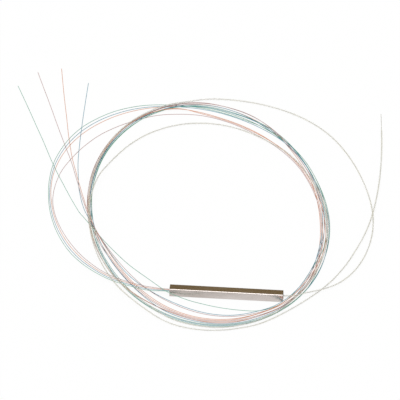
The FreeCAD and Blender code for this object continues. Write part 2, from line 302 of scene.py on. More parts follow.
@dataclass(frozen=True)
class ClearTube:
    """Clear extruded elastomer, seen as a thin wall.

    Light passes straight through where the wall faces the eye and less where it turns
    away, so the tube shows two soft grey edges and a bright middle. It is faintly yellow.

    Args:
        name: the material's name.
        light: the wall's colour where it is palest.
        dark: the wall's colour where it is yellowest.
        patch_range: where the colour turns from pale to yellow.
        patch_size: the size of the paler and yellower stretches.
        face_on: how much the wall hides where it faces the eye.
        edge_on: how much it hides where it turns away.
        roughness: how much the skin spreads a highlight.
    """

    name: str = "clear_elastomer_tube"
    light: str = "#e9e7e0"
    dark: str = "#dcd8bf"
    patch_range: tuple[float, float] = (0.35, 0.7)
    patch_size: float = 16.0 * MM
    face_on: float = 0.03
    edge_on: float = 0.2
    roughness: float = 0.15

    def build(self) -> bpy.types.Material:
        """Make the material.

        Returns:
            The material.
        """
        material, tree, shader = new_material(self.name)
        patch = add(tree, "ShaderNodeTexNoise", {"Vector": object_place(tree)},
                    Scale=1 / self.patch_size, Detail=2.0).outputs["Fac"]
        colour = ramp(tree, patch, zip(self.patch_range, (self.light, self.dark)))
        tree.links.new(colour, shader.inputs["Base Color"])
        facing = add(tree, "ShaderNodeLayerWeight", Blend=0.5).outputs["Facing"]
        cover = add(tree, "ShaderNodeMapRange", {"Value": facing}, None,
                    To_Min=self.face_on, To_Max=self.edge_on)
        tree.links.new(cover.outputs[0], shader.inputs["Alpha"])
        shader.inputs["Roughness"].default_value = self.roughness
        return material


# Coloured acrylate inks, cured on the coating: smooth and slightly glossy. The light and
# the dark colour of each.
INKS = {
    "green": ("#78b59e", "#66a48d"),
    "blue": ("#5d9cb0", "#4b8ca3"),
    "orange": ("#e2a37f", "#d6936c"),
    "brown": ("#bf9c98", "#b28f8b"),
}
INK_CLOUD = 9.0 * MM


class Finishes:
    """Every finish of the splitter, made once, by the record's slot name."""

    def __init__(self) -> None:
        """Make the materials."""
        plastics = {
            # A black silicone sealant: matt, and darkest where the fibres enter.
            "end_seal": CuredPlastic("silicone_sealant", "#232426", "#141416",
                                     1.2 * MM, 0.55, ripple=0.03 * MM),
            # Milky silicone gel that holds the glass in the tube.
            "cushion_silicone": CuredPlastic("silicone_gel", "#dcdcd6", "#cfd0ca",
                                             2.0 * MM, 0.4, 0.2, 1.41),
            # Polished silicon with its silica layer: grey-blue and mirror smooth.
            "chip_silica": CuredPlastic("silica_on_silicon", "#7d8793", "#6b7682",
                                        3.0 * MM, 0.08, 0.0, 1.46, 0.001 * MM),
            # Ground and polished glass: clear, with a green edge.
            "lid_glass": CuredPlastic("polished_lid_glass", "#eef6f2", "#e2efe9",
                                      3.0 * MM, 0.05, 0.9, 1.47, 0.001 * MM),
            "array_glass": CuredPlastic("grooved_array_glass", "#e6f1ef", "#d8e8e4",
                                        3.0 * MM, 0.08, 0.85, 1.47, 0.001 * MM),
            # Cured epoxy: a clear amber bead.
            "array_adhesive": CuredPlastic("amber_epoxy", "#dcbf72", "#c9a655",
                                           1.5 * MM, 0.2, 0.5, 1.55),
            # Natural acrylate on glass: nearly colourless.
            "clear_coating": CuredPlastic("natural_acrylate", "#e4e2d8", "#d2d0c4",
                                          INK_CLOUD, 0.25, 0.35, 1.5),
        }
        for colour, (light, dark) in INKS.items():
            plastics[f"{colour}_coating"] = CuredPlastic(f"{colour}_acrylate", light, dark,
                                                         INK_CLOUD)
        self.by_slot = {slot: finish.build() for slot, finish in plastics.items()}
        self.by_slot["housing_steel"] = DrawnSteel().build()
        self.by_slot["clear_tube"] = ClearTube().build()
        # The coil's CAD piece is replaced, so it only needs some finish.
        self.by_slot["coil_mixed"] = self.by_slot["brown_coating"]

    def dress(self, piece: bpy.types.Object, slot: str) -> None:
        """Give a piece one finish.

        Args:
            piece: a mesh or a curve.
            slot: the record's slot name.
        """
        piece.data.materials.clear()
        piece.data.materials.append(self.by_slot[slot])


# ---- the oval ------------------------------------------------------------------------


@dataclass(frozen=True)
class Oval:
    """The oval that the turns follow, with its long axis leaning to -X.

    Args:
        centre: the oval's centre on the floor.
        long_half: half its length.
        short_half: half its width.
        lean: the long axis's lean, in degrees.
    """

    centre: tuple[float, float] = (-14.0 * MM, 61.0 * MM)
    long_half: float = 82.4 * MM
    short_half: float = 51.7 * MM
    lean: float = 11.5

    def point(self, angle: float, outward: float) -> Vector:
        """A point at an angle clockwise from the far end.

        Args:
            angle: degrees, which may pass a full turn either way.
            outward: how far outside the oval the point lies.

        Returns:
            The point, with no height.
        """
        turn = math.radians(angle)
        lean = math.radians(self.lean)
        along = Vector((-math.sin(lean), math.cos(lean), 0))
        across = Vector((math.cos(lean), math.sin(lean), 0))
        normal = (along * (self.short_half * math.cos(turn))
                  + across * (self.long_half * math.sin(turn))).normalized()
        place = (Vector((*self.centre, 0)) + along * (self.long_half * math.cos(turn))
                 + across * (self.short_half * math.sin(turn)))
        return place + normal * outward


def between(turns: Turns, angle: float) -> float:
    """Read a table of angle and offset at any angle, along a smooth line.

    Args:
        turns: the table, in rising order of its angles.
        angle: where to read it.

    Returns:
        The offset, in the table's own unit.
    """
    last = len(turns) - 1
    slopes = []
    for index in range(last + 1):
        (start, low), (end, high) = turns[max(index - 1, 0)], turns[min(index + 1, last)]
        slopes.append((high - low) / (end - start))
    index = next((step for step in range(last) if angle <= turns[step + 1][0]), last - 1)
    (start, low), (end, high) = turns[index], turns[index + 1]
    span = end - start
    share = (angle - start) / span
    rise = share * share * (3 - 2 * share)
    lead = slopes[index] * share * (1 - share) ** 2
    follow = slopes[index + 1] * share * share * (share - 1)
    return low + (high - low) * rise + (lead + follow) * span


# ---- where each strand runs ----------------------------------------------------------

# Each strand's free stretches, from its seal to the coil and from the coil to its end, in
# millimetres. A place without a height lies on the floor.
LEADS: dict[str, Route] = {
    "green": [
        (-24.8, -0.8, 2), (-28.8, -0.8, 2.05), (-32.8, -1.5, 2.25), (-37.3, -0.9, 2.45),
        (-42.4, 0.7, 2.6), (-47.5, 2.5, 2.6), (-52.1, 4.8, 2.5), (-56.9, 8.5, 2.2),
        (-61.8, 13.2, 1.6), (-66.7, 19.2, 0.8), (-72, 26.8, 0.3), (-76.2, 35),
        (-79.7, 43.5), (-82.3, 52.1), (-84.1, 60.2), (-85.1, 68.1), (-85.8, 75.2),
        (-85.9, 82), (-85.7, 88.3), (-84.9, 95.3), (-83.4, 102), (-81.3, 108.8),
        (-78.8, 114.9), (-74.9, 121.8), (-70, 127.5), (-64.4, 132.8), (-58.7, 136.5),
        (-51.7, 139.6), (-44.7, 141.1), (-37.6, 141.6),
    ],
    "blue": [
        (-24.8, -0.3, 2), (-28.8, -0.3, 2.05), (-33, -0.6, 2.25), (-37.6, 0.1, 2.45),
        (-42.6, 1.7, 2.6), (-47.7, 3.6, 2.6), (-52.3, 6, 2.5), (-57, 9.8, 2.2),
        (-62, 15, 1.6), (-67, 21.2, 0.8), (-72.3, 29.4, 0.3), (-76.3, 37.5), (-79.6, 45.6),
        (-82.1, 54), (-83.8, 62), (-84.8, 69.5), (-85.2, 76.4), (-85.2, 83.2),
        (-84.8, 89.6), (-83.7, 96.4), (-82, 103.1), (-79.6, 109.7), (-76.4, 116.2),
        (-72.2, 122.4), (-67, 128.2), (-61.3, 132.7), (-54.9, 136.5), (-48, 139),
        (-41.5, 140.2), (-37.6, 140.7),
    ],
    "orange": [
        (-24.8, 0.3, 2), (-28.8, 0.3, 2.05), (-33, 0.3, 2.25), (-37.5, 0.9, 2.45),
        (-42.6, 2.6, 2.6), (-47.7, 4.5, 2.6), (-52.3, 7.1, 2.5), (-57.1, 10.9, 2.2),
        (-62, 16.3, 1.6), (-67, 22.9, 0.8), (-72.5, 31.7, 0.3), (-76.4, 39.8),
        (-79.4, 47.6), (-81.9, 55.9), (-83.4, 63.7), (-84.4, 70.8), (-84.7, 77.5),
        (-84.6, 84.2), (-83.8, 90.6), (-82.5, 97.4), (-80.5, 104), (-77.9, 110.3),
        (-74, 117.2), (-69.5, 123.1), (-63.8, 128.8), (-58.1, 133.1), (-51.4, 136.7),
        (-44.5, 138.7), (-37.5, 139.8),
    ],
    "brown": [
        (-24.8, 0.8, 2), (-28.8, 0.8, 2.05), (-33.1, 1.2, 2.25), (-37.6, 1.8, 2.45),
        (-42.7, 3.5, 2.6), (-47.8, 5.5, 2.6), (-52.4, 8.2, 2.5), (-57.2, 12.2, 2.2),
        (-62.2, 18, 1.6), (-67.2, 24.9, 0.8), (-72.7, 34.3, 0.3), (-76.7, 42.5),
        (-80, 51.1), (-82.2, 59.5), (-83, 65.4), (-83.2, 72.3), (-82.6, 79.4), (-81.5, 86),
        (-79.9, 91.4), (-77.6, 97.3), (-74.4, 104.3), (-70.4, 111), (-66.5, 116.4),
        (-62.4, 120.5), (-58.3, 124.1), (-54.1, 127.1),
    ],
    "input": [
        (24.8, 0.3, 2), (28.8, 0.3, 2), (33.6, 2.6, 1.95), (38.8, 5, 1.85),
        (44.6, 8.9, 1.45), (50.4, 15.4, 0.8), (55.6, 25.4), (59.2, 39), (60.4, 54.6),
        (58.7, 71.2), (53.6, 89.6), (45.8, 108.4), (35.2, 125.4), (21.6, 137.4),
        (6.6, 144.4), (-7.2, 147.4), (-20.5, 146.6), (-28, 143.9),
    ],
}

TAILS: dict[str, Route] = {
    "green": [
        (-66.2, 49.3, 0.5), (-67.8, 52, 0.5), (-70.1, 55.9, 0.5), (-72.7, 61.5, 0.5),
        (-75.5, 67.7, 0.5), (-78.3, 74.4, 0.5), (-81.2, 81.3, 0.5), (-83.9, 87.7, 0.6),
        (-87, 96.2, 0.5), (-91.1, 108.4, 0.2), (-95, 118.9), (-98.9, 129.6),
        (-102.7, 139.8), (-106.6, 150),
    ],
    "blue": [
        (-67.4, 55.1, 0.5), (-69, 60.7, 0.5), (-70.4, 65.9, 0.5), (-71.3, 70.1, 0.6),
        (-72.2, 74.2, 0.8), (-72.8, 78.7, 0.8), (-73.3, 83.5, 0.6), (-73.9, 88.5, 0.5),
        (-74.4, 93.7, 0.5), (-74.7, 99.3, 0.55), (-74.9, 105.3, 0.6), (-75.1, 111.3, 0.6),
        (-75.2, 117.4, 0.5), (-75.4, 127.7, 0.2), (-75.5, 141.5), (-75.5, 154.9),
    ],
    "orange": [
        (-66.3, 55.6, 0.5), (-67.7, 60.7, 0.5), (-69.1, 66, 0.5), (-70.5, 70.7, 0.5),
        (-71.8, 75.4, 0.5), (-73.2, 80.4, 0.5), (-74.4, 85.3, 0.5), (-75.6, 90.3, 0.5),
        (-76.8, 94.8, 0.55), (-77.9, 99.8, 0.55), (-78.9, 105.1, 0.55),
        (-79.8, 110.1, 0.55), (-80.5, 113.5, 0.5), (-82.6, 127.3, 0.2), (-84.7, 139.9),
        (-86.7, 152.6), (-88.5, 164.9),
    ],
    "brown": [
        (-66.9, 55.5, 0.5), (-68.1, 60.2, 0.5), (-69.6, 65.5, 0.5), (-71, 70.2, 0.5),
        (-72.3, 75.2, 0.5), (-73.7, 80.1, 0.5), (-74.9, 85, 0.5), (-76.2, 90, 0.5),
        (-77.6, 94.7, 0.55), (-79.1, 99.4, 0.55), (-80.7, 104.1, 0.55),
        (-82.2, 108.7, 0.55), (-84.1, 114.7, 0.5), (-86.2, 121.5, 0.2), (-91.9, 139.9),
        (-95.3, 150.2), (-98.8, 161.3),
    ],
    "input": [
        (12.4, -21.5), (16.7, -18.9), (20.8, -15.6), (24.9, -11.6), (29, -7.2), (33, -2.5),
        (37, 2.6), (40.9, 8), (44.8, 14.6), (48.6, 22.8), (51.4, 30.4, 0.5),
        (53.8, 38.5, 0.75), (56, 46.1, 1.15), (57.9, 55, 1.45), (59.1, 64.5, 1.55),
        (59.7, 74.2, 1.4), (60, 84.4, 0.9), (60, 94.9, 0.5), (59.7, 104.5), (59.1, 115.6),
        (58.5, 123.6), (57.8, 130.6),
    ],
}

# How far outside the oval each strand lies, in millimetres, by clockwise angle in degrees.
# The angles pass 360 in the second turn and 720 in the third.
TURNS: dict[str, Turns] = {
    "green": [
        (-7.4, 2), (-3, 1), (0, -0.1), (5, -1.2), (10, -2.2), (20, -3), (30, -2.9),
        (45, -0.3), (60, 0.7), (70, 0.9), (80, 1.3), (90, 1.9), (100, 2.4), (110, 2.5),
        (120, 2.25), (130, 2.45), (140, 2.28), (150, 2.18), (160, 1.6), (170, 1.4),
        (180, 1.3), (190, 1.3), (200, 1.3), (210, 1.3), (220, 1.3), (230, 0.7), (240, 0.3),
        (250, 0), (260, 0), (270, -0.9), (280, -0.9), (292, -0.75), (312, -0.8),
        (330, -0.8), (340, -0.9), (350, -0.4), (360, -0.5), (365, 0), (370, -0.3),
        (380, -1), (390, -1.2), (405, 0.6), (420, 0.1), (430, 0.2), (440, 0.25),
        (450, 0.5), (460, 0.9), (470, 0.6), (480, 1.2), (490, 2.1), (500, 2.95),
        (510, 2.85), (520, 2.6), (530, 2.6), (540, 2.6), (550, 2.6), (560, 2.6),
        (570, 2.6), (580, 2.6), (590, 2.3), (600, 1.5), (610, 1), (620, 0.8), (630, -0.3),
        (640, -0.6), (652, -1.05), (672, -1.1), (690, -1.1), (700, -1.2), (710, -0.8),
        (720, -1.7), (725, -1.7), (730, -1.6), (740, -2.3), (750, -2.3), (765, -2.2),
        (780, 0.4), (790, 0.55), (800, 0.95), (810, 1.2), (820, 1.7), (830, 1.75),
        (840, -0.55), (850, -1.1), (860, -0.78), (874, -0.6), (878, -1.4), (883, -4),
        (886, -6), (890, -8.1), (895, -9.7), (900, -11), (905, -12), (910, -12.7),
        (917, -13.2), (926, -13.2), (933, -12.9), (942, -12.2), (950, -11.2), (960, -8.8),
        (970, -5.9), (978, -2.9), (984, -0.6), (989.3, 1.8),
    ],
    "blue": [
        (-7.7, 1.1), (-3, 0.1), (0, -0.9), (5, -2.2), (10, -2.8), (20, -3.6), (30, -3.4),
        (45, -1.8), (60, -0.2), (70, -0.1), (80, 0.6), (90, 1.55), (100, 2.05), (110, 2.1),
        (120, 2.6), (130, 2.8), (140, 2.62), (150, 2.51), (160, 2.1), (170, 2), (180, 1.9),
        (190, 1.9), (200, 1.9), (210, 1.9), (220, 1.9), (230, 1.5), (240, 0.9), (250, 0.5),
        (260, 0.4), (270, 0), (280, 0), (292, -0.15), (312, -0.2), (330, -0.2),
        (340, -0.3), (350, 0.4), (360, 0.4), (365, 0.5), (370, 0.3), (380, -0.3),
        (390, -0.6), (405, -1.4), (420, -0.8), (430, -0.75), (440, -0.75), (450, -0.55),
        (460, -0.7), (470, -1.2), (480, -1.25), (490, -0.05), (500, 0.58), (510, 1.85),
        (520, 1.1), (530, 0.8), (540, 0.7), (550, 0.7), (560, 0.7), (570, 0.6),
        (580, -0.7), (590, -1.5), (600, -1.8), (610, -1.4), (620, -1), (630, -0.6),
        (640, -0.3), (652, -0.45), (672, -0.5), (690, -0.5), (700, -0.6), (710, 0),
        (720, -1.3), (725, -0.7), (730, -1), (740, -1.7), (750, -1.8), (765, -1),
        (780, -0.5), (790, -0.4), (800, -0.4), (810, 0.15), (820, 0.1), (830, -0.2),
        (840, -0.9), (850, -0.75), (860, -0.44), (870, -0.57), (880, -3), (890, -4.3),
        (900, -5.8), (910, -6.8), (920, -7.4), (930, -7.6), (940, -6.9), (950, -5.5),
        (960, -3.9), (970, -2.95), (980, -1.9), (987, 0.3), (993.3, 1.9),
    ],
    "orange": [
        (-8, 0.3), (0, 0.9), (5, 1.1), (10, 0.9), (20, 0.4), (30, 0), (45, 0), (60, -1.75),
        (70, -1.75), (80, -1.4), (90, -2), (100, -1.9), (110, -1.6), (120, -0.2), (130, 1),
        (140, 1.26), (150, 1.17), (160, -0.1), (170, -0.5), (180, -0.7), (190, -0.7),
        (200, -0.7), (210, -0.8), (220, 0.1), (230, 1.1), (240, 2), (250, 1.5),
        (260, 1.25), (270, 0.9), (280, 0.6), (292, 0.45), (312, 0.4), (330, 0.4),
        (340, 0.3), (350, -1.1), (357, -2.1), (360, -3), (365, -4.8), (370, -6.1),
        (380, -7), (390, -7), (405, -5.6), (420, -3.8), (430, -2.6), (440, -2.1),
        (450, -1.25), (460, -1.1), (470, -0.55), (480, 0.85), (490, 1.35), (500, 1.6),
        (510, 0.48), (520, -1.3), (530, -1.8), (540, -2.1), (550, -2.1), (560, -2.1),
        (570, -2.2), (580, -2.4), (590, -2.9), (600, -2.8), (610, -2.2), (620, -0.7),
        (630, 0.3), (640, 0.3), (652, 0.15), (672, 0.1), (690, 0.1), (700, 0), (710, -1.5),
        (717, -2.5), (720, -3.4), (725, -5.3), (730, -6.7), (740, -7.6), (750, -7.6),
        (765, -6.3), (780, -3.3), (790, -2.2), (800, -1.75), (810, -0.9), (820, 0.5),
        (830, 1), (840, 1.55), (850, 0.3), (860, 0.24), (870, 0.13), (880, -1.9),
        (890, -2.5), (900, -2.8), (910, -2.9), (920, -2.9), (930, -3), (940, -3.3),
        (950, -3.6), (960, -3.3), (970, -2.6), (980, -1.3), (987, -0.35), (993.5, 0.8),
    ],
    "brown": [
        (-29.3, 1.2), (-20, -1.3), (-10, -4.5), (-5, -5.8), (0, -6.6), (7, -7.3),
        (13, -7.9), (20, -8.2), (30, -8.2), (45, -7), (60, -4.3), (70, -3), (80, -2.5),
        (90, -1.6), (100, -1.5), (110, -0.9), (120, 0.15), (130, 0.65), (140, 0.92),
        (150, 0.82), (160, -0.7), (170, -1.2), (180, -1.4), (190, -1.4), (200, -1.4),
        (210, -1.5), (220, -1.6), (230, -2.2), (240, -2.3), (250, -1.8), (260, -0.35),
        (270, 0.6), (280, 0.9), (292, 1), (312, 1), (330, 0.9), (340, 0.9), (350, 1.3),
        (360, 1.9), (365, 2.1), (370, 2.1), (380, 1.8), (390, 1.2), (405, 0.3),
        (420, -1.1), (430, -1.1), (440, -0.1), (450, 0.85), (460, 1.3), (470, 1.4),
        (480, 1.9), (490, 1.7), (500, 1.94), (510, 1.52), (520, 0.5), (530, 0.1), (540, 0),
        (550, 0), (560, 0), (570, 0), (580, 0.7), (590, 1.9), (600, 2.4), (610, 1.9),
        (620, 1.6), (630, 1.2), (640, 1.2), (652, 0.7), (672, 0.7), (690, 0.6), (700, 0.6),
        (710, 0.9), (720, 1.4), (725, 1.6), (730, 1.5), (740, 1.1), (750, 0.6),
        (765, -0.6), (780, -1.4), (790, -1.4), (800, -1.1), (810, -0.2), (820, -0.3),
        (830, 0.2), (840, 0.5), (850, -0.4), (860, -0.1), (870, -0.22), (880, -2.5),
        (890, -3.6), (900, -4.9), (910, -5.8), (920, -6.4), (930, -6.7), (940, -6.1),
        (950, -4.9), (960, -4.3), (970, -3.3), (980, -1.6), (987, 0), (993.6, 1.3),
    ],
    "input": [
        (-189.2, 4.9), (-180, 5.3), (-173, 6), (-165, 6.6), (-155, 6.8), (-145, 6.8),
        (-138, 6.6), (-128, 5.9), (-118, 4.8), (-108, 3.5), (-98, 2.2), (-88, 0.8),
        (-80, -0.5), (-72, -2), (-60, -4.5), (-45, -7.9), (-30, -11), (-20, -12.8),
        (-10, -13.8), (0, -14.1), (10, -13.7), (20, -12.5), (30, -10.7), (40, -8.7),
        (50, -6.7), (60, -4.6), (68, -3.2), (75, -2.2), (86, -0.2), (97, 1.4), (118, 2),
        (138, 1.6), (150, 2.6), (160, 3.3), (170, 3.5), (180, 3.7), (195, 3.6), (210, 3.7),
        (224, 3.8), (240, 3.5), (254, 2.3), (268, 0.9), (281, 0.4), (304, -0.1),
        (330, 0.1), (345, 0.5), (363, 1.7),
    ],
}

# Where a turn leaves the floor: after one angle and before another it follows these places.
# The green fibre passes over the leads at the housing's output end and down its near side.
BRIDGES: dict[str, tuple[float, float, Route]] = {
    "green": (922, 967, [
        (-15, -4.75), (-18.4, -3.7, 0.5), (-21.8, -3.1, 1.4), (-25.9, -2.1, 2.4),
        (-29.2, 0.8, 2.6), (-32.2, 4.6, 2), (-36.9, 10.7, 0.9), (-42, 16.4, 0.3),
        (-47, 22.2),
    ]),
}


def on_route(places: Route, diameter: float) -> list[Vector]:
    """Turn a table of places in millimetres into control points.

    Args:
        places: X, Y and the height of the centre, which is left out on the floor.
        diameter: the strand's diameter, which sets its height on the floor.

    Returns:
        The control points.
    """
    points = []
    for x, y, *height in places:
        centre = height[0] * MM if height else diameter / 2
        points.append(Vector((x * MM, y * MM, centre)))
    return points


@dataclass
class Strand:
    """One fibre's whole run outside the housing, as control points of one spline.

    Args:
        name: the strand's short name.
        slot: the record's slot that it takes its finish from.
        diameter: over its coating or its tube.
        length: along the whole strand; not used.
        laying: which way round it is wound.
        turn_step: degrees of a turn between control points, or close to it.
        points: the control points, which the layer raises where the strand crosses.
        landed: the first control point that lies on the floor.
        held: control points whose height is given.
    """

    name: str
    slot: str
    diameter: float
    length: float
    laying: Laying = Laying.CLOCKWISE
    turn_step: float = 12.0
    points: list[Vector] = field(default_factory=list)
    landed: int = 0
    held: range = range(0)

    def plan(self, oval: Oval) -> None:
        """Set out the lead, the turns and the tail, with the turns on the floor.

        Args:
            oval: the line that the turns follow.
        """
        lead = on_route(LEADS[self.name], self.diameter)
        tail = on_route(TAILS[self.name], self.diameter)
        table = TURNS[self.name]
        first, last = table[0][0], table[-1][0]
        count = round((last - first) / self.turn_step)
        angles = [first + (last - first) * index / count for index in range(1, count)]
        if self.laying is Laying.ANTICLOCKWISE:
            angles.reverse()
        rest = Vector((0, 0, self.diameter / 2))
        leave, rejoin, bridge = BRIDGES.get(self.name, (last, last, []))
        bridged = on_route(bridge, self.diameter)

        def turn(part: list[float]) -> list[Vector]:
            """Control points on the floor at some of the turns' angles."""
            return [oval.point(angle, between(table, angle) * MM) + rest for angle in part]

        before = lead + turn([angle for angle in angles if angle < leave])
        after = turn([angle for angle in angles if angle > rejoin])
        self.points = before + bridged + after + tail
        self.held = range(len(before), len(before) + len(bridged))
        self.landed = next(index for index, place in enumerate(LEADS[self.name])
                           if len(place) == 2)

    def spans(self, count: int) -> list[tuple[int, int]]:
        """Divide what lies on the floor into spans of control points, in order.

        Args:
            count: the number of spans.

        Returns:
            Each span's first control point and one past its last.
        """
        points = len(self.points) - self.landed
        marks = [self.landed + points * index // count for index in range(count + 1)]
        return list(zip(marks, marks[1:]))


def curve_of(name: str, points: Sequence[Vector],
             radius: float = 0.0) -> bpy.types.Curve:
    """One open NURBS spline through a strand's control points.

    Args:
        name: the curve's name.
        points: its control points.
        radius: the round section's radius, or nothing for a bare line.

    Returns:
        The curve, not yet in the scene.
    """
    data = bpy.data.curves.new(name, "CURVE")
    data.dimensions = "3D"
    data.resolution_u = CURVE_STEPS
    data.bevel_depth = radius
    data.bevel_resolution = SECTION_STEPS
    spline = data.splines.new("NURBS")
    spline.points.add(len(points) - 1)
    for control, point in zip(spline.points, points):
        control.co = (*point, 1.0)
    spline.order_u = 3
    spline.use_endpoint_u = True
    return data


def mesh_from(name: str, work: bmesh.types.BMesh) -> bpy.types.Mesh:
    """Write finished bmesh work to a new mesh and free it.

    Args:
        name: the mesh's name.
        work: the finished work.

    Returns:
        The mesh.
    """
    mesh = bpy.data.meshes.new(name)
    work.to_mesh(mesh)
    work.free()
    return mesh


def put(name: str, data: bpy.types.ID) -> bpy.types.Object:
    """Add an object at the origin.

    Args:
        name: the object's name.
        data: its mesh or curve.

    Returns:
        The object.
    """
    piece = bpy.data.objects.new(name, data)
    bpy.context.scene.collection.objects.link(piece)
    return piece


def centreline(points: Sequence[Vector]) -> list[Vector]:
    """The points that the spline itself passes through.

    Args:
        points: the spline's control points.

    Returns:
        Points along it, in order.
    """
    data = curve_of("line", points)
    holder = put("line", data)
    mesh = bpy.data.meshes.new_from_object(holder)
    line = [vertex.co.copy() for vertex in mesh.vertices]
    bpy.data.objects.remove(holder)
    bpy.data.curves.remove(data)
    bpy.data.meshes.remove(mesh)
    return line


@dataclass
class Layer:
    """Lays the turns one after another, each resting on those beneath it.

    Args:
        spacing: how finely a strand is felt along its length.
        cell: the size of a search cell, over the largest reach.
        spread: spans that a hump keeps its height for, each side of a crossing.
        nearby: spans along one strand that are too close to count as a crossing.
        laid: each point that is laid, with its strand and its place, by search cell.
    """

    spacing: float = 0.3 * MM
    cell: float = 1.2 * MM
    spread: float = 1.5
    nearby: float = 4.0
    laid: dict[tuple[int, int], list[tuple[Vector, Strand, float]]] = field(
        default_factory=dict)

    def samples(self, strand: Strand) -> list[tuple[float, Vector]]:
        """Closely spaced points on a strand, each with its place among the controls.

        Args:
            strand: the strand to feel along.

        Returns:
            Pairs of a control point's number, as a fraction, and a point.
        """
        line = centreline(strand.points)
        spans = len(strand.points) - 2
        found = []
        for index, (start, end) in enumerate(zip(line, line[1:])):
            steps = max(1, math.ceil((end - start).length / self.spacing))
            for step in range(steps):
                share = step / steps
                # The line's spans meet halfway between controls.
                place = (index + share) * spans / (len(line) - 1) + 0.5
                found.append((place, start.lerp(end, share)))
        return found

    def needed(self, strand: Strand, place: float, point: Vector) -> float:
        """The height at which a strand rests on what is laid under a point.

        Args:
            strand: the strand.
            place: where the point is among its controls.
            point: the point, seen from above.

        Returns:
            The height of its centre.
        """
        height = strand.diameter / 2
        column, row = round(point.x / self.cell), round(point.y / self.cell)
        for near_column in (column - 1, column, column + 1):
            for near_row in (row - 1, row, row + 1):
                for other, owner, at in self.laid.get((near_column, near_row), ()):
                    apart = (other.xy - point.xy).length
                    reach = (strand.diameter + owner.diameter) / 2
                    own = owner is strand and abs(at - place) < self.nearby
                    if apart < reach and not own:
                        lift = math.sqrt(reach * reach - apart * apart)
                        height = max(height, other.z + lift)
        return height

    def lay(self, strand: Strand, start: int, end: int) -> None:
        """Raise one span of controls over what lies there, then lay that span down.

        Args:
            strand: the strand.
            start: the span's first control point.
            end: one past its last.
        """
        heights = {index: strand.points[index].z for index in range(start, end)}
        for place, point in self.samples(strand):
            if start - self.spread <= place <= end + self.spread:
                height = self.needed(strand, place, point)
                low = max(start, math.ceil(place - self.spread))
                high = min(end - 1, math.floor(place + self.spread))
                for index in range(low, high + 1):
                    heights[index] = max(heights[index], height)
        for index, height in heights.items():
            if index not in strand.held:
                strand.points[index].z = height
        for place, point in self.samples(strand):
            if start <= place <= end:
                key = (round(point.x / self.cell), round(point.y / self.cell))
                self.laid.setdefault(key, []).append((point, strand, place))


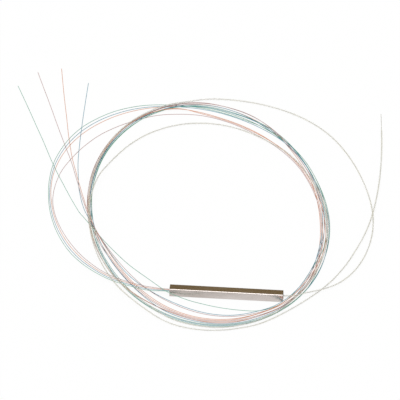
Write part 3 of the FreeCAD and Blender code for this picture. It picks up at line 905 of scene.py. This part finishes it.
@dataclass
class LooseFibre:
    """The coil of loose fibre with its leads and tails.

    Args:
        finishes: the materials.
        oval: the line that the turns follow.
        coating: the diameter over a fibre's coating.
        declared_coating: the same, as declared, which may be no thinner; not used.
        sleeve: the diameter of the clear loose tube.
        sleeve_wall: the tube's wall.
        weld: vertices nearer than this on the tube's skin are one.
        stub: fibre that stands out of the tube's cut end.
        stub_bend: the share of the stub at which it has one more control point.
        spans: how many spans each strand is laid in, each under one turn.
        fixed: an output lead's control points whose height the housing sets.
        tube_fixed: the same for the tube.
        output_lengths: each output fibre's length outside the housing.
        input_length: the loose tube's length outside the housing.
    """

    finishes: Finishes
    oval: Oval = field(default_factory=Oval)
    coating: float = 0.25 * MM
    declared_coating: float = 0.3 * MM
    sleeve: float = 0.9 * MM
    sleeve_wall: float = 0.2 * MM
    weld: float = 0.001 * MM
    stub: float = 12.0 * MM
    stub_bend: float = 0.3
    spans: int = 5
    fixed: int = 4
    tube_fixed: int = 2
    output_lengths: dict[str, float] = field(default_factory=lambda: {
        "green": 1.49, "blue": 1.49, "orange": 1.49, "brown": 1.48})
    input_length: float = 1.03

    def strands(self) -> tuple[list[Strand], Strand]:
        """Plan every strand and lay the turns in order.

        Returns:
            The output fibres, and the input's loose tube.
        """
        outputs = [Strand(name, f"{name}_coating", self.coating, length)
                   for name, length in self.output_lengths.items()]
        tube = Strand("input", "clear_tube", self.sleeve, self.input_length,
                      Laying.ANTICLOCKWISE)
        layer = Layer()
        for strand in (*outputs, tube):
            strand.plan(self.oval)
        for span in range(self.spans):
            for strand in outputs:
                layer.lay(strand, *strand.spans(self.spans)[span])
        for strand in outputs:
            layer.lay(strand, self.fixed, strand.landed)
        for start, end in tube.spans(self.spans):
            layer.lay(tube, start, end)
        layer.lay(tube, self.tube_fixed, tube.landed)
        return outputs, tube

    def finish_cord(self, piece: bpy.types.Object, strand: Strand, slot: str,
                    nodes: Sequence[str],
                    path: list[Vector] | None = None) -> None:
        """Dress and mount one strand, and hide the CAD nodes that it stands for.

        Args:
            piece: the strand's object.
            strand: its control points.
            slot: the record's slot.
            nodes: the CAD nodes that it stands for.
            path: the centreline, for a tube made as a mesh; not used.
        """
        self.finishes.dress(piece, slot)
        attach(piece, ROOT_BODY)
        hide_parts(*nodes)
        LOG.info("%s: %d control points", piece.name, len(strand.points))

    def make_output(self, strand: Strand) -> None:
        """One coated output fibre, with a square cut end.

        Args:
            strand: the laid strand.
        """
        data = curve_of(f"{strand.name}_fibre", strand.points, strand.diameter / 2)
        data.use_fill_caps = True
        nodes = [f"lead_{strand.name}", f"tail_{strand.name}", "fibre_coil"]
        self.finish_cord(put(f"{strand.name}_fibre", data), strand, strand.slot,
                         nodes)

    def make_tube(self, strand: Strand) -> None:
        """The clear loose tube, hollow and open at its cut end.

        Args:
            strand: the laid strand.
        """
        data = curve_of("tube_skin", strand.points, strand.diameter / 2)
        holder = put("tube_skin", data)
        mesh = bpy.data.meshes.new_from_object(holder)
        mesh.name = "input_tube"
        bpy.data.objects.remove(holder)
        bpy.data.curves.remove(data)
        work = bmesh.new()
        work.from_mesh(mesh)
        bmesh.ops.remove_doubles(work, verts=work.verts, dist=self.weld)
        bmesh.ops.recalc_face_normals(work, faces=work.faces)
        for face in work.faces:
            face.smooth = True
        work.to_mesh(mesh)
        work.free()
        piece = put("input_tube", mesh)
        wall = piece.modifiers.new("wall", "SOLIDIFY")
        wall.thickness = self.sleeve_wall
        wall.offset = -1.0
        self.finish_cord(piece, strand, strand.slot,
                         ["lead_input", "tail_input", "fibre_coil"],
                         centreline(strand.points))

    def make_core(self, strand: Strand) -> None:
        """The coated fibre inside the loose tube, which stands out of its end.

        Args:
            strand: the laid tube.
        """
        last = strand.points[-1]
        onward = (last - strand.points[-2]).normalized() * self.stub
        points = strand.points[:-1] + [last + onward * self.stub_bend, last + onward]
        data = curve_of("input_core", points, self.coating / 2)
        data.use_fill_caps = True
        self.finish_cord(put("input_core", data), strand, "clear_coating",
                         ["input_fibre_stub"])

    def build(self) -> None:
        """Make every strand."""
        outputs, tube = self.strands()
        for strand in outputs:
            self.make_output(strand)
        self.make_tube(tube)
        self.make_core(tube)


# ---- the housing ---------------------------------------------------------------------


@dataclass
class Housing:
    """The steel tube's own pieces, and the sealant that fills its ends.

    Args:
        finishes: the materials.
        meniscus: how deep the sealant's face dishes between the walls.
        corner: the rounding of its long edges, which fits the tube's bore.
        corner_steps: facets round each of those edges.
        rings: steps from the rim to the middle of the dish.
    """

    finishes: Finishes
    meniscus: float = 0.14 * MM
    corner: float = 0.15 * MM
    corner_steps: int = 4
    rings: int = 6

    def dress_nodes(self) -> None:
        """Give each CAD piece that stays its own finish."""
        for part in frame["record"]["subparts"]:
            node = frame["nodes"].get(part["node"])
            if node is not None:
                self.finishes.dress(node, part["material_slot"])
                LOG.info("%s: %s", part["node"], part["material_slot"])

    def make_seal(self, node: str, outward: int) -> None:
        """A sealant plug whose face dishes between the tube's walls.

        Args:
            node: the CAD seal that it stands for.
            outward: 1 for the seal at +X, -1 for the other.
        """
        low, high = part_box(node)
        centre, size = (Vector(low) + Vector(high)) / 2, Vector(high) - Vector(low)
        work = bmesh.new()
        bmesh.ops.create_cube(work, size=1.0)
        bmesh.ops.scale(work, vec=size, verts=work.verts)
        long_edges = [edge for edge in work.edges
                      if abs(edge.verts[0].co.x - edge.verts[1].co.x) > size.x / 2]
        bmesh.ops.bevel(work, geom=long_edges, offset=self.corner, affect="EDGES",
                        segments=self.corner_steps, profile=0.5, material=-1)
        work.normal_update()
        end = max(work.faces, key=lambda face: face.normal.x * outward * face.calc_area())
        for depth in range(1, self.rings):
            end = bmesh.ops.extrude_discrete_faces(work, faces=[end])["faces"][0]
            left = (self.rings - depth) / (self.rings - depth + 1)
            bmesh.ops.scale(work, vec=(1, left, left), verts=end.verts)
            drop = 2 * self.meniscus * (1 - depth / self.rings) / self.rings
            bmesh.ops.translate(work, verts=end.verts, vec=(-outward * drop, 0, 0))
        bmesh.ops.translate(work, verts=work.verts, vec=centre)
        mesh = mesh_from(f"sealant_{node}", work)
        piece = put(f"sealant_{node}", mesh)
        self.finishes.dress(piece, "end_seal")
        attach(piece, ROOT_BODY)
        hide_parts(node)
        LOG.info("%s: %d faces", piece.name, len(mesh.polygons))

    def build(self) -> None:
        """Dress the CAD pieces and make both seals."""
        self.dress_nodes()
        self.make_seal("input_end_seal", 1)
        self.make_seal("output_end_seal", -1)


# ---- floor, light and camera ---------------------------------------------------------


@dataclass
class Studio:
    """A white sweep, soft even light and a long lens from above the near side.

    Args:
        azimuth: the camera's turn round the object, in degrees.
        elevation: its height above the horizon, in degrees.
        target: the floor point in the middle of the frame.
        width: the floor width that the frame takes in.
        lens: the focal length in millimetres, long enough to look almost parallel.
        near: the nearest that the camera sees.
        far: the farthest that it sees, in distances to the target.
        floor_half: half the floor's side.
        floor_drop: how far the floor lies below the object.
        paper: the floor's colour.
        ambient: the surround's strength as a light, beside 1 as it is seen.
        glow: the share of the floor's white that doesn't depend on the light.
        key: the lamp's strength.
        key_angle: how wide the lamp is, in degrees, which softens its shadow.
        key_tilt: the lamp's tilt about X and Y, in degrees.
        card_size: the card's width and height.
        card_away: how far off the card stands.
        card_tone: what the card looks like in a reflection.
    """

    azimuth: float = 5.09
    elevation: float = 36.0
    target: Point = (-18.0 * MM, 71.1 * MM, 0.0)
    width: float = 177.07 * MM
    lens: float = 1600.0
    near: float = 0.1
    far: float = 4.0
    floor_half: float = 3.0
    floor_drop: float = 0.02 * MM
    paper: str = "#fafaf9"
    ambient: float = 0.66
    glow: float = 0.9
    key: float = 1.3
    key_angle: float = 40.0
    key_tilt: tuple[float, float] = (22.0, -14.0)
    card_size: tuple[float, float] = (3.0, 1.1)
    card_away: float = 1.0
    card_tone: str = "#8a7853"

    def seen_directly(self, tree: bpy.types.NodeTree) -> bpy.types.NodeSocket:
        """One for camera, glossy and transmission rays, and none for the rest.

        Args:
            tree: the node tree.

        Returns:
            The factor socket.
        """
        path = add(tree, "ShaderNodeLightPath").outputs
        either = add(tree, "ShaderNodeMath", {0: path["Is Camera Ray"],
                                              1: path["Is Glossy Ray"]},
                     {"operation": "MAXIMUM"}).outputs[0]
        return add(tree, "ShaderNodeMath", {0: either, 1: path["Is Transmission Ray"]},
                   {"operation": "MAXIMUM"}).outputs[0]

    def make_world(self) -> None:
        """An even grey surround that shows as white."""
        world = bpy.data.worlds.new("studio")
        bpy.context.scene.world = world
        tree = fresh_tree(world)
        strength = add(tree, "ShaderNodeMapRange", {"Value": self.seen_directly(tree)},
                       None, To_Min=self.ambient, To_Max=1.0)
        back = add(tree, "ShaderNodeBackground", {"Strength": strength.outputs[0]},
                   Color=(1.0, 1.0, 1.0, 1.0))
        add(tree, "ShaderNodeOutputWorld", {"Surface": back.outputs[0]})

    def make_floor(self) -> None:
        """A pale floor that keeps the object's faint shadow."""
        work = bmesh.new()
        bmesh.ops.create_grid(work, x_segments=1, y_segments=1, size=self.floor_half)
        bmesh.ops.translate(work, verts=work.verts, vec=(0, 0, -self.floor_drop))
        mesh = mesh_from("floor", work)
        floor = put("floor", mesh)
        material = bpy.data.materials.new("matt_white_paper")
        tree = fresh_tree(material)
        paper = add(tree, "ShaderNodeBsdfDiffuse", Color=linear(self.paper))
        shine = add(tree, "ShaderNodeEmission", Strength=1.0)
        share = add(tree, "ShaderNodeMath", {0: self.seen_directly(tree)},
                    {"operation": "MULTIPLY"})
        share.inputs[1].default_value = self.glow
        both = add(tree, "ShaderNodeMixShader", {0: share.outputs[0],
                                                 1: paper.outputs[0], 2: shine.outputs[0]})
        add(tree, "ShaderNodeOutputMaterial", {"Surface": both.outputs[0]})
        mesh.materials.append(material)

    def make_card(self) -> None:
        """A dark card beyond the coil, for the housing's upper face to reflect."""
        work = bmesh.new()
        bmesh.ops.create_grid(work, x_segments=1, y_segments=1, size=0.5)
        bmesh.ops.scale(work, vec=(*self.card_size, 1.0), verts=work.verts)
        toward = Vector((0, math.cos(math.radians(self.elevation)),
                         math.sin(math.radians(self.elevation))))
        turn = toward.to_track_quat("Z", "Y").to_matrix()
        bmesh.ops.rotate(work, verts=work.verts, cent=(0, 0, 0), matrix=turn)
        bmesh.ops.translate(work, verts=work.verts, vec=toward * self.card_away)
        mesh = mesh_from("dark_card", work)
        card = put("dark_card", mesh)
        for part in ("camera", "diffuse", "transmission", "shadow"):
            setattr(card, f"visible_{part}", False)
        material = bpy.data.materials.new("black_card")
        tree = fresh_tree(material)
        tone = add(tree, "ShaderNodeEmission", Color=linear(self.card_tone), Strength=1.0)
        add(tree, "ShaderNodeOutputMaterial", {"Surface": tone.outputs[0]})
        mesh.materials.append(material)

    def make_light(self) -> None:
        """One broad soft lamp from above the near side."""
        lamp = bpy.data.lights.new("soft_key", "SUN")
        lamp.energy = self.key
        lamp.angle = math.radians(self.key_angle)
        holder = put("soft_key", lamp)
        holder.rotation_euler = (*map(math.radians, self.key_tilt), 0)

    def make_camera(self) -> None:
        """The camera, far back on a long lens."""
        azimuth, elevation = math.radians(self.azimuth), math.radians(self.elevation)
        back = Vector((math.sin(azimuth) * math.cos(elevation),
                       -math.cos(azimuth) * math.cos(elevation), math.sin(elevation)))
        data = bpy.data.cameras.new("camera")
        data.lens = self.lens
        distance = self.width * data.lens / data.sensor_width
        data.clip_start = self.near
        data.clip_end = self.far * distance
        camera = put("camera", data)
        camera.location = Vector(self.target) + back * distance
        camera.rotation_euler = (-back).to_track_quat("-Z", "Y").to_euler()
        bpy.context.scene.camera = camera

    def build(self) -> None:
        """Set up everything round the object."""
        bpy.context.scene.view_settings.view_transform = "Standard"
        self.make_camera()
        self.make_world()
        self.make_floor()
        self.make_card()
        self.make_light()


def main() -> None:
    """Build the studio, the loose fibre and the housing in order."""
    logging.basicConfig(level=logging.INFO)
    Studio().build()
    finishes = Finishes()
    LooseFibre(finishes).build()
    Housing(finishes).build()


if __name__ == "__main__":
    main()
